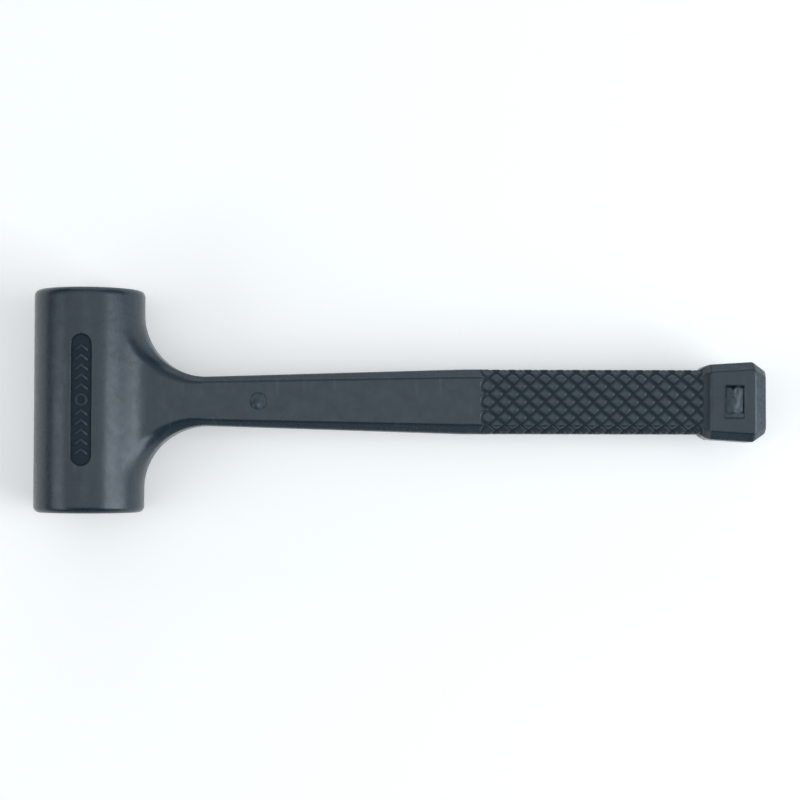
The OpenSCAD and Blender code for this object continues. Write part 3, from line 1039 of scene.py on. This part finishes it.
def plastic(name, dark, light, rough):
    """Natural nylon: milky, with soft mould marks."""
    mat, tree, shader = material(name)
    coords = object_coords(tree)
    milk = noise(tree, 180, 5, 0.55, coords)
    tree.links.new(ramp(tree, milk, [(0.3, dark), (0.7, light)]), shader.inputs["Base Color"])
    gloss = ramp(tree, milk, [(0.3, grey(rough)), (0.7, grey(rough + 0.1))])
    tree.links.new(gloss, shader.inputs["Roughness"])
    shader.inputs["Subsurface Weight"].default_value = 0.15
    shader.inputs["Subsurface Radius"].default_value = (0.002, 0.002, 0.0015)
    bump(tree, shader, noise(tree, 900, 3, 0.5, coords), 0.3, 0.00003)
    return mat


def assign(obj, *materials):
    """Gives an object its materials, in place of any it came with."""
    slots = obj.data.materials
    for place, mat in enumerate(materials):
        if place < len(slots):
            slots[place] = mat
        else:
            slots.append(mat)


# colours of the elastomers: dark and light of the clouding, and rubbed
RUBBER_DARK = (0.0097, 0.0225, 0.0335)
RUBBER_LIGHT = (0.0160, 0.0300, 0.0430)
RUBBER = (RUBBER_DARK, RUBBER_LIGHT, (0.041, 0.060, 0.076))
RECESS_RUBBER = ((0.0092, 0.0182, 0.0275), (0.0145, 0.0260, 0.0385), RUBBER_DARK)
PLUG_RUBBER = ((0.022, 0.037, 0.050), (0.037, 0.055, 0.069), (0.090, 0.111, 0.127))

JACKET = elastomer("jacket_rubber", RUBBER, 0.27, 0.00003)
FLOOR_OF_RECESS = elastomer("recess_rubber", RECESS_RUBBER, 0.6, 0.00006, specular=0.22)
MARKS = elastomer("mark_rubber", RUBBER, 0.45, 0.00005, wear=0.35, specular=0.4)
PLUG = elastomer("plug_rubber", PLUG_RUBBER, 0.42, 0.00005)
SHOT = steel("shot_steel", (0.28, 0.28, 0.29), (0.42, 0.42, 0.43), 0.34, 300, 0.00002)
CARRIED = {
    "bare_steel": steel("bare_steel", (0.30, 0.30, 0.31), (0.42, 0.42, 0.44), 0.32, 120, 0.00002),
    "zinc_steel": steel("zinc_steel", (0.50, 0.51, 0.50), (0.64, 0.65, 0.63), 0.30, 90, 0.00001),
    "weld_steel": steel("weld_steel", (0.11, 0.11, 0.12), (0.26, 0.24, 0.22), 0.46, 420, 0.00012),
    "nylon": plastic("nylon", (0.62, 0.60, 0.53), (0.72, 0.70, 0.63), 0.42),
}


def add_pieces():
    """The replaced pieces, and materials for the nodes that are carried over."""
    jacket = new_piece("jacket", jacket_mesh(), MALLET, "jacket_rubber", "rubber_jacket")
    assign(jacket, JACKET, FLOOR_OF_RECESS, MARKS)
    add_plugs()
    add_shot()
    for part in frame["record"]["subparts"]:
        if part["material_slot"] in CARRIED:
            assign(frame["nodes"][part["node"]], CARRIED[part["material_slot"]])


# ------------------------ stage
FLOOR_HALF = 12.0                   # metres, like all of the stage
MIDDLE = (0.127, 0, 0)              # middle of the mallet, which the lights are aimed at
COOL_WHITE = (0.89, 0.985, 1.075)
SKY_TINT = (0.95, 1.025, 1.06)


def add_floor():
    """A pale floor that glows a little, so that it looks white where the mallet's shadow doesn't fall."""
    half, z = FLOOR_HALF, CAD_BOX[0][2]
    mesh = bpy.data.meshes.new("floor")
    corners = [(-half, -half, z), (half, -half, z), (half, half, z), (-half, half, z)]
    mesh.from_pydata(corners, [], [(0, 1, 2, 3)])
    floor = bpy.data.objects.new("floor", mesh)
    bpy.context.scene.collection.objects.link(floor)
    mat, _, shader = material("pale_floor")
    shader.inputs["Base Color"].default_value = (0.95, 0.92, 0.90, 1)
    shader.inputs["Roughness"].default_value = 0.9
    shader.inputs["Specular IOR Level"].default_value = 0.1
    shader.inputs["Emission Color"].default_value = (1, 1, 1, 1)
    shader.inputs["Emission Strength"].default_value = 0.24
    assign(floor, mat)


def add_softbox(name, place, size, radiance):
    """A soft light of a width and height, aimed at the mallet. Its radiance is how bright it looks itself."""
    data = bpy.data.lights.new(name, "AREA")
    data.shape = "RECTANGLE"
    data.size, data.size_y = size
    data.color = COOL_WHITE
    data.energy = radiance * math.pi * size[0] * size[1]
    lamp = bpy.data.objects.new(name, data)
    lamp.location = place
    lamp.rotation_euler = (Vector(MIDDLE) - Vector(place)).to_track_quat("-Z", "Y").to_euler()
    bpy.context.scene.collection.objects.link(lamp)


def add_world(zenith, horizon):
    """A plain studio: bright above, dark at the horizon, with a darker gap towards -Y and towards +Y."""
    world = bpy.data.worlds.new("studio")
    bpy.context.scene.world = world
    world.use_nodes = True
    tree = world.node_tree
    direction = tree.nodes.new("ShaderNodeTexCoord").outputs["Generated"]
    split = tree.nodes.new("ShaderNodeSeparateXYZ")
    tree.links.new(direction, split.inputs[0])
    # by height: the horizon up to 0.45, then the sky, with a brighter spot right above
    sky = 0.91 * zenith
    steps = [(0.0, horizon), (0.45, horizon), (0.85, sky), (0.984, sky), (0.996, 1.2 * zenith)]
    shade = ramp(tree, split.outputs["Z"], [(place, grey(value)) for place, value in steps])
    # how much of that is kept, from -Y at 0 to +Y at 1
    front_gap = [(0.03, 1.4), (0.13, 0.04), (0.36, 0.04), (0.46, 1)]
    rear_gap = [(0.56, 1), (0.66, 0.56), (0.89, 0.36), (0.975, 1.05)]
    from_front = combine(tree, "MULTIPLY_ADD", split.outputs["Y"], 0.5, 0.5)
    kept = ramp(tree, from_front, [(place, grey(value)) for place, value in front_gap + rear_gap])
    background = tree.nodes["Background"]
    background.inputs["Color"].default_value = (*SKY_TINT, 1)
    tree.links.new(combine(tree, "MULTIPLY", shade, kept), background.inputs["Strength"])


def add_camera():
    """Above the mallet's middle, 0.8 m from its centre plane and leaning back by under two degrees."""
    lean, roll = math.radians(1.77), math.radians(0.12)
    data = bpy.data.cameras.new("camera")
    data.sensor_width = 36.0
    data.lens = 87.7
    data.clip_end = 50
    camera = bpy.data.objects.new("camera", data)
    camera.location = (0.1275, -0.0239, 0.8)
    camera.rotation_euler = (lean, 0, roll)
    bpy.context.scene.collection.objects.link(camera)
    bpy.context.scene.camera = camera


def add_stage():
    """Floor, lights and camera, in the photograph's soft light from above and from the butt's side."""
    add_floor()
    add_world(zenith=1.46, horizon=0.24)
    add_softbox("key", place=(1.50, -0.33, 0.72), size=(0.94, 1.42), radiance=4.3)
    add_softbox("fill", place=(-1.22, -0.42, 0.79), size=(1.2, 0.72), radiance=2.0)
    add_softbox("back", place=(0.1, 1.5, 0.42), size=(1.6, 0.6), radiance=1.35)
    add_camera()
    bpy.context.scene.view_settings.view_transform = "Standard"


add_pieces()
add_stage()
